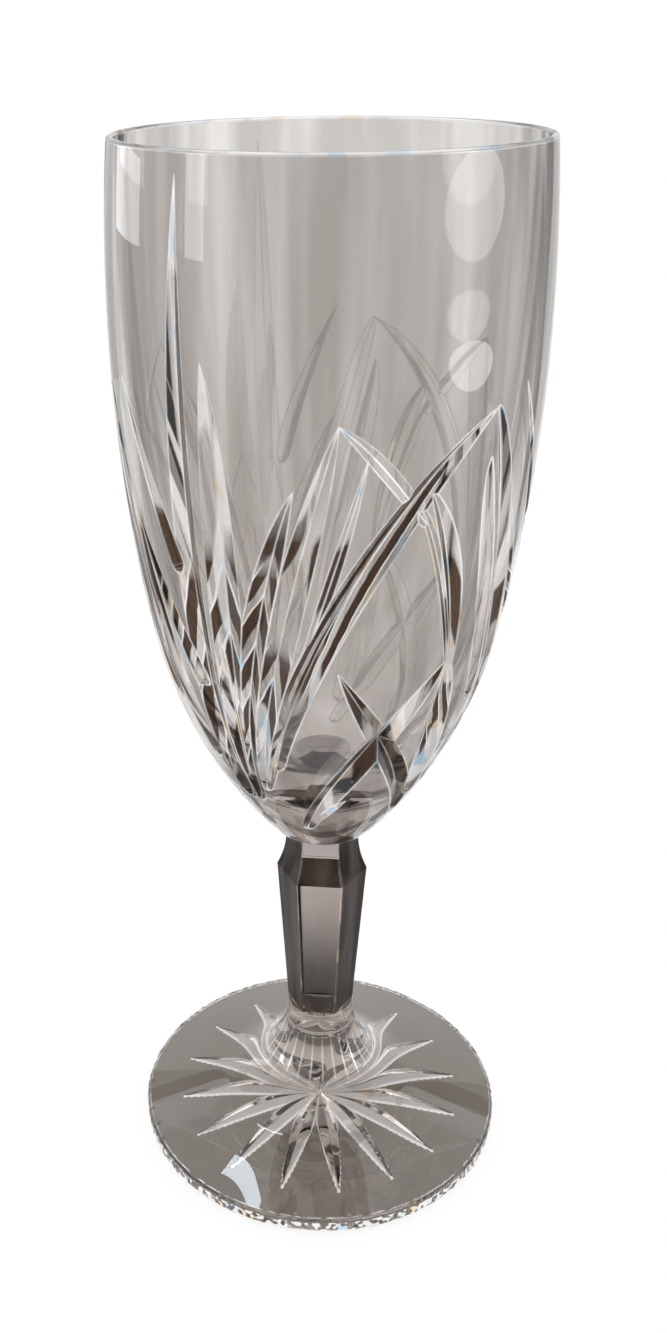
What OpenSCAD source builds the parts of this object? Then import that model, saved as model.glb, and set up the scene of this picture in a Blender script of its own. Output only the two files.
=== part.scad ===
// Water goblet in clear cut glass: a tall bowl with long V-shaped cuts, a six-sided stem
// and a round foot with a star cut under it. The origin is on the table at the middle of
// the foot, +Z is up and the front is toward -Y.

/* [Bowl] */
// Height of the bowl, from the top of the stem to the lip
bowl_h = 135; // [110:1:160]
// Largest outside diameter
bowl_d = 78.4; // [66:0.1:92]
// How much narrower the lip is than the largest diameter
lip_draw = 2.7; // [1.5:0.1:3.5]
// Height of the largest diameter, as a share of the height of the bowl
belly_share = 0.782; // [0.74:0.002:0.81]
// Height where the wall starts to turn in, as a share of the height of the bowl
heel_share = 0.347; // [0.3:0.001:0.4]
// Outside diameter of the bowl where it meets the stem
base_d = 20.6; // [17:0.1:26]
// Wall at the lip
lip_wall = 1.3; // [1:0.05:1.8]
// Wall at the largest diameter
belly_wall = 2.2; // [1.9:0.05:2.8]
// Wall where the bowl starts to turn in
heel_wall = 3.8; // [3.4:0.05:4.6]
// Glass between the stem and the inside of the bowl
base_t = 12.6; // [9:0.1:16]
// How much less the radius of the round bottom inside is than the inside where the wall turns in
bottom_step = 6.5; // [4:0.1:9]

/* [Cuts] */
// Number of times the group of cuts is repeated round the bowl
groups = 3; // [2:1:4]
// Turn of the first group from the front
group_turn = 3; // [-10:0.5:10]
// Width of a full-width cut
cut_w = 5.4; // [4:0.1:6.4]
// Depth of a full-depth cut
cut_d = 2; // [1.2:0.05:2.3]
// Longest straight step along a cut
cut_step = 14; // [10:1:24]

/* [Stem] */
// Height of the stem, from the foot to the bowl
stem_h = 46; // [36:1:60]
// Size across the corners at the top of the stem
stem_top_w = 15.8; // [13:0.1:19]
// Size across the corners at the narrow part of the neck
neck_w = 15.2; // [12:0.1:18]
// Size across the corners at the ridge under the neck
ridge_w = 19.1; // [16:0.1:23]
// Size across the corners at the bottom of the stem
shaft_w = 14.3; // [11:0.1:18]
// Drop from the bowl to the narrow part of the neck
neck_drop = 3.5; // [2:0.1:6]
// Drop from the bowl to the ridge
ridge_drop = 11.6; // [9:0.1:15]

/* [Foot] */
// Height of the foot, from the table to the stem
foot_h = 29; // [24:0.5:36]
// Diameter of the foot
foot_d = 79.1; // [66:0.1:90]
// Thickness of the foot at its edge
edge_t = 3.2; // [2.4:0.1:5]
// Radius of the rounding on the edge of the foot
edge_round = 0.8; // [0.4:0.05:1.2]
// Radius of the curve that rises from the foot to the stem
flare_r = 22; // [18:0.5:24]
// Number of rays in the star under the foot
rays = 16; // [8:2:24]
// Radius that the rays reach
ray_r = 31; // [24:0.5:35]
// Width of a ray where the rays meet at the middle
star_w = 7; // [4:0.1:8]
// Depth of the star at the middle
star_d = 2.4; // [1.4:0.1:3]

/* [Hidden] */
$fn = 144;
// Sides that stand for a circle: round the bowl, along its wall, in its bottom, on its lip
bowl_fn = 72;
side_fn = 110;
turn_fn = 56;
lip_fn = 16;
// Overrun of a cutting shape past the surface that it cuts
over = 1;
// Share of a cut's length on each side of a place, over which its direction is taken
look_share = 0.01;

// Heights of the parts above the table
bowl_z = foot_h + stem_h;
lip_z = bowl_z + bowl_h - lip_wall / 2;
belly_z = bowl_z + belly_share * bowl_h;
heel_z = bowl_z + heel_share * bowl_h;

// Places on the outside of the bowl, each a radius and a height
lip_out = [(bowl_d - lip_draw) / 2, lip_z];
belly_out = [bowl_d / 2, belly_z];
// Upper wall outside: an arc through the lip whose widest point is the belly
wall_sag = lip_draw / 2;
wall_rise = lip_out[1] - belly_out[1];
wall_r = (wall_rise * wall_rise + wall_sag * wall_sag) / (2 * wall_sag);
wall_c = [belly_out[0] - wall_r, belly_z];
heel_out = [arc_r(wall_c, wall_r, heel_z), heel_z];
// Lower wall outside: an arc that runs on from the upper one and ends at the stem
base_out = [base_d / 2, bowl_z];
heel_n = (heel_out - wall_c) / wall_r;
heel_r = run_on(heel_out, heel_n, base_out);
heel_c = heel_out - heel_r * heel_n;

// Inside of the bowl: an upper arc through three places, a lower arc and a round bottom
lip_in = lip_out - [lip_wall, 0];
belly_in = belly_out - [belly_wall, 0];
heel_in = heel_out - [heel_wall, 0];
in_c = arc_centre(lip_in, belly_in, heel_in);
in_r = norm(lip_in - in_c);
in_n = (heel_in - in_c) / in_r;
bottom_r = heel_in[0] - bottom_step;
bottom_c = [0, bowl_z + base_t + bottom_r];
turn_r = bottom_r + run_on(heel_in - bottom_r * in_n, in_n, bottom_c);
turn_c = heel_in - turn_r * in_n;
bottom_z = bottom_c[1] + bottom_r * (bottom_c[1] - turn_c[1]) / norm(bottom_c - turn_c);

// Side of the stem at its ridge, neck and top, as half widths across the flats and heights
flat_share = sqrt(3) / 2;
ridge_side = [ridge_w * flat_share / 2, stem_h - ridge_drop];
neck_side = [neck_w * flat_share / 2, stem_h - neck_drop];
top_side = [stem_top_w * flat_share / 2, stem_h];
scoop_c = arc_centre(ridge_side, neck_side, top_side);

// Top of the foot: the slope from the edge runs into the curve that rises to the stem
foot_r = foot_d / 2;
slope_end = [foot_r - edge_round, edge_t];
flare_c = [shaft_w / 2 + flare_r, foot_h];
flare_v = flare_c - slope_end;
flare_turn = atan2(flare_v[1], flare_v[0]) + asin(flare_r / norm(flare_v));
flare_start = slope_end + sqrt(flare_v * flare_v - flare_r * flare_r) * [cos(flare_turn), sin(flare_turn)];

// Cuts of one group. Each row holds the tip, a middle place and the lower end of a cut,
// each as an angle, in shares of the group, and a height, in shares of the bowl, then the
// width in the middle and at the lower end, in shares of a full width, and the depth in
// the middle and at the lower end, in shares of a full depth.
cut_shares = [
    // Tall cut that reaches nearly to the lip
    [-0.317, 0.975, -0.328, 0.570, -0.333, 0.125, 0.96, 0.75, 0.60, 0.55],
    // Broad shallow cut beside it
    [-0.258, 0.768, -0.237, 0.545, -0.250, 0.200, 1.25, 1.00, 0.50, 0.40],
    // Short cut low down between the tall cut and the fan
    [-0.265, 0.430, -0.262, 0.311, -0.283, 0.170, 0.60, 0.55, 0.60, 0.40],
    // Fan of slanted cuts, from left to right
    [-0.067, 0.622, -0.158, 0.437, -0.275, 0.126, 1.00, 0.65, 0.78, 0.50],
    [0.023, 0.704, -0.075, 0.481, -0.217, 0.156, 1.08, 0.65, 0.78, 0.50],
    [0.083, 0.667, 0.029, 0.537, -0.045, 0.393, 0.36, 0.25, 0.26, 0.20],
    [-0.025, 0.419, -0.100, 0.293, -0.200, 0.163, 0.58, 0.58, 0.60, 0.40],
    // Upper crossing: the wide cut that leans right, and the narrow one that leans left
    [0.375, 0.704, 0.108, 0.533, -0.150, 0.207, 1.00, 0.74, 1.00, 0.60],
    [0.020, 0.703, 0.107, 0.654, 0.208, 0.578, 0.50, 0.34, 0.34, 0.28],
    [0.171, 0.622, 0.250, 0.526, 0.335, 0.356, 0.38, 0.32, 0.28, 0.25],
    [0.213, 0.622, 0.288, 0.519, 0.342, 0.363, 0.70, 0.20, 0.75, 0.20],
    // Lower crossing
    [0.033, 0.370, 0.183, 0.237, 0.417, 0.074, 0.85, 0.60, 0.90, 0.50],
    [0.342, 0.374, 0.158, 0.241, -0.067, 0.067, 1.00, 0.56, 0.95, 0.45],
    // Cuts that fall away to the right
    [0.333, 0.385, 0.354, 0.252, 0.405, 0.126, 1.20, 0.90, 0.95, 0.60],
    [0.371, 0.644, 0.392, 0.533, 0.483, 0.290, 0.72, 0.65, 0.75, 0.60],
    [0.375, 0.706, 0.442, 0.578, 0.600, 0.200, 0.80, 0.85, 0.60, 0.60],
    // Slanted cuts that end in the tall cut of their group
    [-0.525, 0.726, -0.433, 0.604, -0.368, 0.500, 0.46, 0.66, 0.60, 0.80],
    [-0.525, 0.563, -0.442, 0.452, -0.350, 0.326, 0.50, 0.75, 0.60, 0.80],
    // Small leaf near the stem
    [0.092, 0.133, 0.025, 0.106, -0.058, 0.068, 0.37, 0.10, 0.30, 0.10],
];

// Radius at height z of the arc with centre c and radius r
function arc_r(c, r, z) = c[0] + sqrt(r * r - (z - c[1]) * (z - c[1]));
// Radius of the arc that leaves place p at right angles to n and ends at place q
function run_on(p, n, q) = (p - q) * (p - q) / (2 * ((p - q) * n));
// Centre of the arc through three places
function arc_centre(p, q, s) =
    let (
        a = q - p,
        b = s - p,
        t = 2 * (a[0] * b[1] - a[1] * b[0])
    )
    p + [b[1] * (a * a) - a[1] * (b * b), a[0] * (b * b) - b[0] * (a * a)] / t;

// Centre and radius of the arc that the outside of the bowl follows at height z
function side_c(z) = z >= heel_z ? wall_c : heel_c;
function side_r(z) = arc_r(side_c(z), z >= heel_z ? wall_r : heel_r, z);
// Direction out of the glass at height z, as a radius and a height
function side_n(z) =
    let (v = [side_r(z), z] - side_c(z))
    v / norm(v);
// A place given by a radius and a height, turned to an angle from the front
function turned(a, p) = [p[0] * sin(a), -p[0] * cos(a), p[1]];

// Place along a curve with tip a, middle b and end c, at share t of the way
function along(a, b, c, t) =
    (1 - t) * (1 - 2 * t) * a + 4 * t * (1 - t) * b + t * (2 * t - 1) * c;

// Angle and height of a cut at share t, and its place on the outside of the bowl
function cut_a(row, t) = group_turn + along(row[0], row[2], row[4], t) * 360 / groups;
function cut_z(row, t) = bowl_z + along(row[1], row[3], row[5], t) * bowl_h;
function cut_place(row, t) =
    let (z = cut_z(row, t))
    turned(cut_a(row, t), [side_r(z), z]);

// Cross-section of a cut at share t: its bottom and its two sides outside the glass
function cut_section(row, t) =
    let (
        w = along(0, row[6], row[7], t) * cut_w / 2,
        d = along(0, row[8], row[9], t) * cut_d,
        p = cut_place(row, t),
        n = turned(cut_a(row, t), side_n(cut_z(row, t))),
        x = cross(n, cut_place(row, min(t + look_share, 1)) - cut_place(row, max(t - look_share, 0))),
        x1 = x / norm(x),
        k = row[6] * cut_w / 2 / (row[8] * cut_d)
    )
    [p - d * n, p + over * n + (w + over * k) * x1, p + over * n - (w + over * k) * x1];

module cut(row) {
    steps = max(2, ceil(norm(cut_place(row, 0) - cut_place(row, 1)) / cut_step));
    sections = [for (i = [0 : steps]) cut_section(row, i / steps)];
    for (i = [1 : steps]) {
        hull()
        polyhedron(concat(sections[i - 1], sections[i]),
            [[0, 1, 2], [3, 5, 4], [0, 3, 4, 1], [1, 4, 5, 2], [2, 5, 3, 0]]);
    }
}

// Part of the disc round centre c, of radius r, between two heights, right of the axis
module band(c, r, z0, z1) {
    intersection() {
        translate(c) circle(r, $fn = r > bowl_d ? side_fn : turn_fn);
        translate([0, z0]) square([bowl_d, z1 - z0]);
    }
}

module bowl_outline() {
    band(heel_c, heel_r, bowl_z, heel_z);
    band(wall_c, wall_r, heel_z, lip_z);
    translate([lip_out[0] - lip_wall / 2, lip_z]) circle(lip_wall / 2, $fn = lip_fn);
}

module bowl_inside() {
    band(bottom_c, bottom_r, bowl_z, bottom_z);
    band(turn_c, turn_r, bottom_z, heel_z);
    band(in_c, in_r, heel_z, lip_z);
}

module bowl() {
    color("gainsboro")
    difference() {
        rotate_extrude($fn = bowl_fn)
        difference() {
            bowl_outline();
            bowl_inside();
        }
        for (g = [0 : groups - 1]) {
            rotate([0, 0, g * 360 / groups])
            for (row = cut_shares) {
                cut(row);
            }
        }
    }
}

// Round bar that scoops the neck of the stem out of one of its six sides
module stem_scoop() {
    translate([scoop_c[0], 0, scoop_c[1]])
    rotate([90, 0, 0])
    cylinder(ridge_w, r = norm(ridge_side - scoop_c), center = true);
}

module stem() {
    color("gray")
    translate([0, 0, foot_h]) {
        cylinder(ridge_side[1], d1 = shaft_w, d2 = ridge_w, $fn = 6);
        difference() {
            translate([0, 0, ridge_side[1]]) cylinder(ridge_drop, d = ridge_w + over, $fn = 6);
            for (i = [0 : 5]) {
                rotate([0, 0, (i + 1 / 2) * 60]) stem_scoop();
            }
        }
    }
}

// Half outline of the foot: a rounded edge, a low slope and a curve up to the stem
module foot_half() {
    square([foot_r - edge_round, edge_t]);
    translate([0, edge_round]) square([foot_r, edge_t - 2 * edge_round]);
    for (z = [edge_round, edge_t - edge_round]) {
        translate([foot_r - edge_round, z]) circle(edge_round);
    }
    difference() {
        polygon([[0, 0], [foot_r - edge_round, 0], slope_end, flare_start, flare_c, [0, foot_h]]);
        translate(flare_c) circle(flare_r);
    }
}

// One ray of the star: a V-shaped cut that is deepest at the middle of the foot
module ray() {
    slope = atan(star_d / ray_r);
    translate([0, 0, star_d])
    rotate([0, 90 + slope, 0])
    linear_extrude(ray_r + foot_r)
    polygon([[0, 0], [star_d + over, star_w * (1 + over / star_d) / 2],
        [star_d + over, -star_w * (1 + over / star_d) / 2]]);
}

module foot() {
    color("silver")
    difference() {
        rotate_extrude() foot_half();
        for (i = [0 : rays - 1]) {
            rotate([0, 0, (i + 1 / 2) * 360 / rays]) ray();
        }
    }
}

bowl();
stem();
foot();
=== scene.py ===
"""Water goblet in cut glass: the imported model's bowl, stem and foot as finer glass, on a pale floor."""

import math

import bmesh
import bpy
import numpy as np
from mathutils import Matrix, Vector


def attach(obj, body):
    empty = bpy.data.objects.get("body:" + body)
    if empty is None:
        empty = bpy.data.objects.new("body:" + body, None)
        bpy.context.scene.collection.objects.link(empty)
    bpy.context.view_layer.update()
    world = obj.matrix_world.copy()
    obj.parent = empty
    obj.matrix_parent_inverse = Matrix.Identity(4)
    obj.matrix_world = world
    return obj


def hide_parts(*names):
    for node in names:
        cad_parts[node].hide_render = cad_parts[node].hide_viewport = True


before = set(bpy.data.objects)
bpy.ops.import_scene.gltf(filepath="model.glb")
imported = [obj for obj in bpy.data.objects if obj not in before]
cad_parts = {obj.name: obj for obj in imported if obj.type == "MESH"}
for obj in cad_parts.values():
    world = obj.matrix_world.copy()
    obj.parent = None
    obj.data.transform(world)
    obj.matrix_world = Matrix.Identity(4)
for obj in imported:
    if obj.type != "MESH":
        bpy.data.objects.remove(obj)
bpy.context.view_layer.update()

MM = 0.001

# Sizes of the goblet in mm, as in the part's source
BOWL_H, BOWL_D, LIP_DRAW = 135.0, 78.4, 2.7
BELLY_SHARE, HEEL_SHARE = 0.782, 0.347
BASE_D, BASE_T, BOTTOM_STEP = 20.6, 12.6, 6.5
LIP_WALL, BELLY_WALL, HEEL_WALL = 1.3, 2.2, 3.8
STEM_H, STEM_TOP_W, NECK_W, RIDGE_W, SHAFT_W = 46.0, 15.8, 15.2, 19.1, 14.3
NECK_DROP, RIDGE_DROP = 3.5, 11.6
FOOT_H, FOOT_D, EDGE_T, EDGE_ROUND, FLARE_R = 29.0, 79.1, 3.2, 0.8, 22.0
RAYS, RAY_R, STAR_W, STAR_D = 16, 31.0, 7.0, 2.4
GROUPS, GROUP_TURN, CUT_W, CUT_D = 3, 3.0, 5.4, 2.0

# Cuts of one group: tip, middle and lower end as shares of the group's angle and of the
# bowl's height, then the width and the depth in the middle and at the lower end
CUTS = (
    (-0.317, 0.975, -0.328, 0.570, -0.333, 0.125, 0.96, 0.75, 0.60, 0.55),
    (-0.258, 0.768, -0.237, 0.545, -0.250, 0.200, 1.25, 1.00, 0.50, 0.40),
    (-0.265, 0.430, -0.262, 0.311, -0.283, 0.170, 0.60, 0.55, 0.60, 0.40),
    (-0.067, 0.622, -0.158, 0.437, -0.275, 0.126, 1.00, 0.65, 0.78, 0.50),
    (0.023, 0.704, -0.075, 0.481, -0.217, 0.156, 1.08, 0.65, 0.78, 0.50),
    (0.083, 0.667, 0.029, 0.537, -0.045, 0.393, 0.36, 0.25, 0.26, 0.20),
    (-0.025, 0.419, -0.100, 0.293, -0.200, 0.163, 0.58, 0.58, 0.60, 0.40),
    (0.375, 0.704, 0.108, 0.533, -0.150, 0.207, 1.00, 0.74, 1.00, 0.60),
    (0.020, 0.703, 0.107, 0.654, 0.208, 0.578, 0.50, 0.34, 0.34, 0.28),
    (0.171, 0.622, 0.250, 0.526, 0.335, 0.356, 0.38, 0.32, 0.28, 0.25),
    (0.213, 0.622, 0.288, 0.519, 0.342, 0.363, 0.70, 0.20, 0.75, 0.20),
    (0.033, 0.370, 0.183, 0.237, 0.417, 0.074, 0.85, 0.60, 0.90, 0.50),
    (0.342, 0.374, 0.158, 0.241, -0.067, 0.067, 1.00, 0.56, 0.95, 0.45),
    (0.333, 0.385, 0.354, 0.252, 0.405, 0.126, 1.20, 0.90, 0.95, 0.60),
    (0.371, 0.644, 0.392, 0.533, 0.483, 0.290, 0.72, 0.65, 0.75, 0.60),
    (0.375, 0.706, 0.442, 0.578, 0.600, 0.200, 0.80, 0.85, 0.60, 0.60),
    (-0.525, 0.726, -0.433, 0.604, -0.368, 0.500, 0.46, 0.66, 0.60, 0.80),
    (-0.525, 0.563, -0.442, 0.452, -0.350, 0.326, 0.50, 0.75, 0.60, 0.80),
    (0.092, 0.133, 0.025, 0.106, -0.058, 0.068, 0.37, 0.10, 0.30, 0.10),
)

# Rows of the table whose walls show nested chevrons, painted dark bands of shade with a painted
# highlight line along each: the shares of the cut's length between which they show, how fast they
# follow each other along it and how far they slant across it
CHEVRONS = {
    0: (0.55, 0.97, 1, 0.12),
    1: (0.50, 0.95, 1, 0.12),
    3: (0.30, 0.97, 1, 0.12),
    4: (0.62, 0.97, 1, 0.12),
    6: (0.20, 0.95, 1, 0.12),
    7: (0.20, 0.88, 0.20, 0.24),
    13: (0.12, 0.90, 0.5, 0.30),
    17: (0.45, 0.97, 1, 0.12),
}
CHEVRON_FADE = 0.05

# Fineness of the meshes: columns round the axis, rows up each stretch, steps along a cut, and the
# share of a cut's length over which its direction is measured
BOWL_COLUMNS = 288
HEEL_ROWS, WALL_ROWS, LIP_ROWS, TURN_ROWS, BOTTOM_ROWS = 40, 50, 15, 24, 22
SHAFT_ROWS, NECK_ROWS = 12, 28
FOOT_COLUMNS = 576
STAR_ROWS, FLAT_ROWS, SLOPE_ROWS, FLARE_ROWS, EDGE_ROW_DEG = 84, 6, 14, 40, 10
CUT_STEPS, WALK_STEPS, WALK_SHARE = 36, 161, 0.01
TINY = 1e-6

# Sizes in mm that only the finer meshes have: how far the cutters stand out of the bowl, the air
# where pieces meet, the radius of the disc of painted shade in the bowl's bottom and the least half
# width that chevrons are measured by. Then the taper at a cut's lower end in half widths, and its steps.
OVER, JOINT_GAP, BOTTOM_SHADE_R, THIN_CUT = 0.6, 0.02, 7.0, 0.1
TAPER_RUN, TAPER_SHARES = 1.3, (0.35, 0.65, 0.87, 0.98)

# The stem's sides, the radius of its corners, the strip beside them and its height over the ridge
# that gets painted shade and under the neck that gets painted light, in mm; turns of a corner in
# degrees; and half the width across the flats for each mm across the corners
SIDES, STEM_ROUND, EDGE_STRIP, SHOULDER, NECK_UP = 6, 0.35, 0.25, 6.0, 1.8
CORNER_TURNS = (0, 15, 30, 45, 60)
FLAT_SHARE = math.sqrt(3) / 4

# The star's softness, its first row and how far its rows go on past the rays, the radius where its
# leaves are deepest and their depth, in mm
STAR_SOFT, STAR_START, STAR_PAST = 0.08, 0.6, 1.0
LEAF_R, LEAF_D = 13.0, 1.35

# Painted highlight lines round the stem's foot: their number, and their reach, width and fade in mm
FOOT_LINES, FOOT_LINE_R, FOOT_LINE_W, FOOT_LINE_FADE = 26, (7.6, 13), 0.3, 1.5

# The chips of the ground edge: their depth in mm, their width in columns and the seed
CHIP_D, CHIP_COLUMNS, CHIP_SEED = 0.35, 3, 7

# Angles in degrees past which an edge stays sharp
WALL_CREASE, STEM_CREASE, FOOT_CREASE = 10, 40, 50

# Codes for the faces, and steps between the codes of the bowl's cuts and of their groups
JOINT, OUTSIDE, LIP, INSIDE, BELOW, EDGE, NECK = 1, 10, 11, 12, 14, 15, 16
CUT_KIND, GROUP_KIND = 100, 10000

# Patterns of the glass and of its painted light and shade: scale of the noise, its stretch, the
# values between which the share rises, and detail. Where the stretch is None, each piece has its own.
PATTERNS = {
    "streaks": (140, None, 0.44, 0.6, 2),
    "waves": (25, None, 0, 1, 2),
    "smears": (60, (1, 1, 1), 0.45, 0.75, 2),
    "facets": (75, (1, 1, 0.3), 0.42, 0.58, 1),
    "patches": (95, (1, 1, 0.25), 0.55, 0.57, 0),
    "wobble": (110, (1, 1, 1), 0, 1, 2),
    "rim_streaks": (170, (1, 1, 0.05), 0.42, 0.58, 1),
    "side_shade_lines": (230, (1, 1, 0.03), 0.53, 0.58, 1),
    "shade": (260, (1, 1, 0.1), 0.42, 0.66, 2),
    "glints": (330, (1, 1, 0.6), 0.55, 0.68, 0),
    "rainbow": (170, (1, 1, 0.4), 0.4, 0.6, 0),
    "broken": (90, (1, 1, 0.5), 0.25, 0.5, 2),
    "speckle": (950, (1, 1, 1), 0.46, 0.58, 0),
    "shards": (160, (1, 1, 0.18), 0.66, 0.69, 0),
    "dashes": (420, (1, 1, 0.22), 0.42, 0.5, 1),
}

# Glass of all pieces: its index of refraction, the grey inside it, the depth of its waves in mm,
# and the tones and roughness of its marks: the tints of the painted rainbow glints, the tint of
# reflections in the painted dark patches, the tones of the painted shade and of the painted light on
# the neck, the faint back, and the roughness and shine of the painted highlights and painted shade
GLASS_IOR, GLASS_GREY = 1.545, (0.62, 0.56, 0.52)
WAVE_D = 0.04
RAINBOW = (0.6, 0.8, 1.0), (1.0, 0.82, 0.6)
SHADE_FILL_SHINE = (0.3, 0.2, 0.14)
SHADE_TONES, NECK_LIGHT_TONE = ((0.013, 0.0075, 0.005), (0.06, 0.05, 0.044)), (0.62, 0.53, 0.53)
FAINT_TONE = (0.78, 0.76, 0.745)
SPARK_ROUGH, SHADE_ROUGH, SHADE_SHINE = 0.3, 0.4, 0.06

# Where its patterns show: heights in mm where painted dark patches and outlines show, shares of a
# chevron's step for its painted shade and highlight, of a ray's height for the painted tones of the
# star, and of the turn from face on to edge on for painted highlight outlines and painted dark lines,
# and how far a rounded normal leaves the plain one at an edge with a painted highlight
PATCH_Z = (165, 150)
CHEVRON_STEPS, WOBBLE = 6.5, 0.5
CHEVRON_BAND, CHEVRON_LINE, CHEVRON_LINE_W = (0.42, 0.46), 0.39, 0.05
PETAL_IN, PETAL_OUT = (0.16, 0.34), (1.25, 1.1)
OUTLINE, SIDE_ON = (0.78, 0.9), (0.55, 0.75)
EDGE_TURN, EDGE_SAMPLES = (0.004, 0.03), 6

# How strongly the painted highlights show, then the painted shade on the stem's cuts and the painted light on
# its neck
SPECKLE_SHARE, DASH_SHARE, FOOT_HIGHLIGHT_SHARE, CHEVRON_LINE_HIGHLIGHT, LIP_HIGHLIGHT = 0.9, 0.8, 0.55, 0.6, 0.28
FACET_SHADE, NECK_LIGHT_SHARE = 0.7, 0.7

# The look of each piece. Tones of the glass: clear and streak face on, rim and rim_dark edge on,
# where rim_dark paints dark streaks and the stem's rim paints it near black, as painted shade,
# facet and facet_dark in the cuts, lighter there as painted light on the bowl and the foot and near
# black as painted shade on the stem's shoulder, facet_rim there edge on, dark as painted shade on
# the bowl and the stem, fill as painted shade in chevrons and patches, under as painted shade below
# the foot and in the bowl's bottom, low toward the lower of two heights in mm, petal as painted
# shade in the star's rays, spark in the painted highlights and shine in the reflections. Then the
# turn from face on to edge on, the radius in mm of the edges with painted highlights, and the
# shares of the marks that the piece has.
PLAIN_GLASS = dict(
    petal=(0.3, 0.29, 0.28), spark=(0.97, 0.97, 0.97), spark_metal=1, shine=(1, 1, 1),
    smears=0, soft_back=0, shade_share=0, side_shade_lines=0,
)
# Bowl: painted shade in dark streaks edge on, dark cut rims, dark chevrons and patches, a dark bottom disc and
# dark lines at the sides, and painted light in its lighter cuts
BOWL_GLASS = dict(
    PLAIN_GLASS,
    clear=(0.6, 0.575, 0.555), streak=(0.78, 0.765, 0.75),
    rim=(0.7, 0.68, 0.66), rim_dark=(0.17, 0.15, 0.14),
    facet=(0.86, 0.84, 0.82), facet_dark=(0.56, 0.535, 0.515), facet_rim=(0.22, 0.17, 0.14),
    fill=(0.012, 0.0055, 0.003), under=(0.2, 0.18, 0.17), low=(0.86, 0.81, 0.8), rise=(75, 100),
    turn=(0.25, 0.65), edge_r=0.5, edge_share=0.95, glint_share=0.5, density=45, stretch=(1, 1, 0.05),
    smears=0.02, soft_back=0.55, side_shade_lines=0.7,
)
# Stem: near-black tones, dimmed reflections and a matt dark tone are painted shade on its sides and shoulder,
# and its pale edge lines are painted highlights
STEM_GLASS = dict(
    PLAIN_GLASS,
    clear=(0.62, 0.58, 0.56), streak=(0.68, 0.65, 0.63),
    rim=(0.006, 0.0028, 0.0016), rim_dark=(0.006, 0.0028, 0.0016),
    facet=(0.012, 0.006, 0.004), facet_dark=(0.012, 0.006, 0.004), facet_rim=(0.006, 0.0028, 0.0016),
    fill=(0.01, 0.006, 0.004), under=(0.5, 0.5, 0.5), low=(0.12, 0.108, 0.1), rise=(36, 58),
    turn=(0.2, 0.42), edge_r=0.6, edge_share=0.8, glint_share=0, density=60, stretch=(1, 1, 0.3),
    shine=(0.15, 0.12, 0.1), spark=(0.3, 0.25, 0.235), spark_metal=0, shade_share=0.97,
)
# Foot: near-white cuts are painted light on the star's rays, and their grey middles and the dark tone below
# the foot are painted shade
FOOT_GLASS = dict(
    PLAIN_GLASS,
    clear=(0.78, 0.755, 0.735), streak=(0.86, 0.84, 0.825),
    rim=(0.7, 0.68, 0.66), rim_dark=(0.7, 0.68, 0.66),
    facet=(0.98, 0.98, 0.98), facet_dark=(0.98, 0.98, 0.98), facet_rim=(0.95, 0.94, 0.93),
    fill=(0.6, 0.6, 0.6), under=(0.047, 0.0365, 0.0275), low=(0.8, 0.775, 0.755), rise=(0, 1),
    turn=(0.4, 0.8), edge_r=0.4, edge_share=0.9, glint_share=0.6, density=40, stretch=(1, 1, 1),
)

# Camera fitted to the photograph: the photograph's frame, the focal length and the axis in its
# pixels, the camera's place in mm, and its turns down, to the side and about its axis in degrees
PHOTO_W, PHOTO_H = 667, 1333
FOCAL_PX, AXIS_PX = 1378, (252.8, 640.0)
CAMERA_AT, CAMERA_TURNS = (12.92, -246.46, 228.6), (24.55, -6.28, -0.66)
SENSOR_MM, NEAR_M, FAR_M = 36, 0.01, 50

# Floor in m, the share of white that it shows to the camera, and the world's light
FLOOR_ROWS, FLOOR_BEND, FLOOR_WALL, FLOOR_DROP = (0.0001, 0.3, 0.7, 1.1), 0.5, 1.0, 0.0003
FLOOR_COLUMNS, FLOOR_ROW_DEG = 96, 6
FLOOR_TONE, FLOOR_ROUGH, FLOOR_WHITE = (0.9, 0.9, 0.9), 0.9, 0.8
WORLD_TONE, WORLD_STRENGTH = (0.8, 0.79, 0.78), 0.5

# Lamps: name, place, what each points at, width and height in m, power in W, shape and colour
WHITE, SKY = (1, 1, 1), (0.78, 0.89, 1)
LAMPS = (
    ("overhead", (0, 0.1, 1.5), (0, 0.1, 0), 3, 3, 36, "RECTANGLE", WHITE),
    ("window_left", (-0.634, 0.296, 0.168), (0, 0, 0.168), 0.32, 0.085, 0.2, "RECTANGLE", WHITE),
    ("window_front", (-0.629, -0.307, 0.195), (0, 0, 0.195), 0.135, 0.12, 0.16, "RECTANGLE", WHITE),
    ("round_right", (0.673, -0.17, 0.19), (0, 0, 0.19), 0.45, 0.12, 0.3, "ELLIPSE", WHITE),
    ("round_low", (0.485, -0.121, 0.06), (0, 0, 0.06), 0.24, 0.045, 0.1, "ELLIPSE", WHITE),
    ("window_high", (-0.383, 0.287, 1.21), (0, 0, 0), 0.024, 0.26, 0.22, "RECTANGLE", SKY),
)


# Outline of the bowl

def arc_centre(p, q, s):
    """Centre of the circle through three places."""
    a, b = q - p, s - p
    t = 2 * (a[0] * b[1] - a[1] * b[0])
    return p + np.array([b[1] * (a @ a) - a[1] * (b @ b), a[0] * (b @ b) - b[0] * (a @ a)]) / t


def run_on(p, n, q):
    """Radius of the arc that leaves p at right angles to n and ends at q."""
    return (p - q) @ (p - q) / (2 * ((p - q) @ n))


def arc_r(c, r, z):
    """Radius of the outline at height z on the arc with centre c and radius r."""
    return c[0] + np.sqrt(np.maximum(r * r - (z - c[1]) ** 2, 0))


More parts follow.
